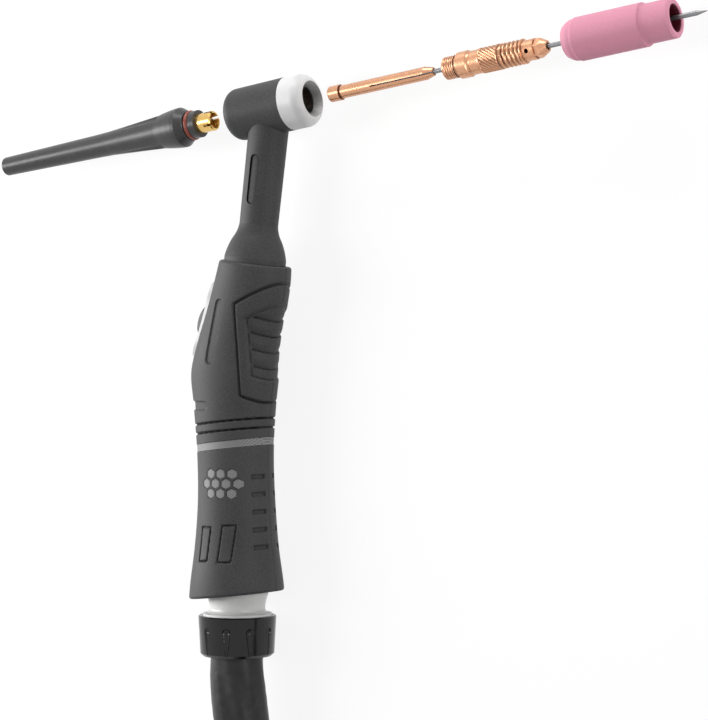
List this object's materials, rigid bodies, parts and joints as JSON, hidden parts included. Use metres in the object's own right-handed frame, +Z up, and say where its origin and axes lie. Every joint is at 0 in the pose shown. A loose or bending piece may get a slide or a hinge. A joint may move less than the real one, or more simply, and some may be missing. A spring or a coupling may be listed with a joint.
{
  "type": "tig torch",
  "caption": "Gas-cooled TIG torch: T head, rubber grip with trigger, ball-jointed coiled hose with plug, and its back cap, collet, collet body, nozzle and electrode pulled apart along the head.",
  "frame": {"origin": "centre of the footprint of the torch's own pieces (without the hose), on the bench it lies on", "axes": "+X along the long side, towards the nozzle; +Y up the grip towards the head; +Z up from the bench"},
  "size_m": [0.4842, 0.618, 0.0497],
  "materials": {
    "rubber_dark": "matte, soft-touch moulding with a fine speckle",
    "cap_black": "satin phenolic",
    "ring_red": "silicone O-ring",
    "brass": "bright, machined",
    "copper": "bright copper, machined",
    "shield_white": "smooth PTFE",
    "ceramic_pink": "matte alumina ceramic, pink",
    "tungsten": "ground tungsten",
    "steel": "zinc-plated screws",
    "white_plastic": "satin moulding",
    "trigger_dark": "satin moulding",
    "accent_grey": "fine dotted texture",
    "nut_black": "polished",
    "sleeve_black": "semi-gloss, soft lengthwise folds",
    "inner_black": "moulded",
    "wire_red": "insulated lead",
    "connector_black": "textured moulding"
  },
  "bodies": {
    "hose_package": {"ball_knuckle": "white_plastic", "cable_core": "copper", "hose_lead": "sleeve_black", "hose_coil": "sleeve_black", "hose_tail": "sleeve_black", "connector_boot": "sleeve_black", "connector_shell": "connector_black", "connector_insert": "connector_black", "connector_pins": "brass"},
    "support_nut": {"support_nut": "nut_black"},
    "connector_nut": {"connector_nut": "brass"},
    "ball_seat": {"ball_seat": "inner_black"},
    "torch": {"head_insulation": "rubber_dark", "head_core": "brass", "neck_tube": "copper", "heat_shield_ring": "shield_white", "grip_shell_left": "rubber_dark", "grip_shell_right": "rubber_dark", "accent_band": "accent_grey", "grip_inlay": "accent_grey", "shell_screws": "steel", "trigger_frame": "white_plastic", "micro_switch": "inner_black", "switch_carrier": "inner_black", "switch_leads": "wire_red", "power_adapter": "brass", "power_cable": "sleeve_black", "cable_crimp": "copper"},
    "trigger_button": {"trigger_button": "trigger_dark"},
    "back_cap": {"back_cap": "cap_black", "cap_o_ring": "ring_red", "cap_insert": "brass"},
    "collet": {"collet": "copper"},
    "collet_body": {"collet_body": "copper"},
    "gas_nozzle": {"gas_nozzle": "ceramic_pink"},
    "electrode": {"electrode": "tungsten"}
  },
  "joints": [
    {"name": "ball_yaw", "type": "hinge", "parent": "hose_package", "child": "ball_seat", "pos_m": [-0.04536, -0.10535, 0.02035], "axis": [0, 0, 1], "range_deg": [-10, 10]},
    {"name": "ball_nod", "type": "hinge", "parent": "ball_seat", "child": "torch", "pos_m": [-0.04536, -0.10535, 0.02035], "axis": [1, 0, 0], "range_deg": [0, 8]},
    {"name": "support_nut_turn", "type": "hinge", "parent": "hose_package", "child": "support_nut", "pos_m": [-0.04536, -0.10535, 0.02035], "axis": [0, 1, 0], "continuous": true},
    {"name": "connector_nut_turn", "type": "hinge", "parent": "hose_package", "child": "connector_nut", "pos_m": [0.28724, -0.09595, 0.0215], "axis": [0, 1, 0], "continuous": true},
    {"name": "trigger_press", "type": "slide", "parent": "torch", "child": "trigger_button", "axis": [0.9367, -0.3502, 0], "range_m": [0, 0.0015], "stiffness_N_per_m": 800},
    {"name": "back_cap_in", "type": "slide", "parent": "torch", "child": "back_cap", "axis": [0.9917, 0.1288, 0], "range_m": [0, 0.0236]},
    {"name": "collet_in", "type": "slide", "parent": "torch", "child": "collet", "axis": [-0.9917, -0.1288, 0], "range_m": [0, 0.037]},
    {"name": "collet_body_in", "type": "slide", "parent": "collet", "child": "collet_body", "axis": [-0.9917, -0.1288, 0], "range_m": [0, 0.046]},
    {"name": "gas_nozzle_in", "type": "slide", "parent": "collet_body", "child": "gas_nozzle", "axis": [-0.9917, -0.1288, 0], "range_m": [0, 0.0391]},
    {"name": "electrode_in", "type": "slide", "parent": "collet", "child": "electrode", "axis": [-0.9917, -0.1288, 0], "range_m": [0, 0.0936]}
  ]
}
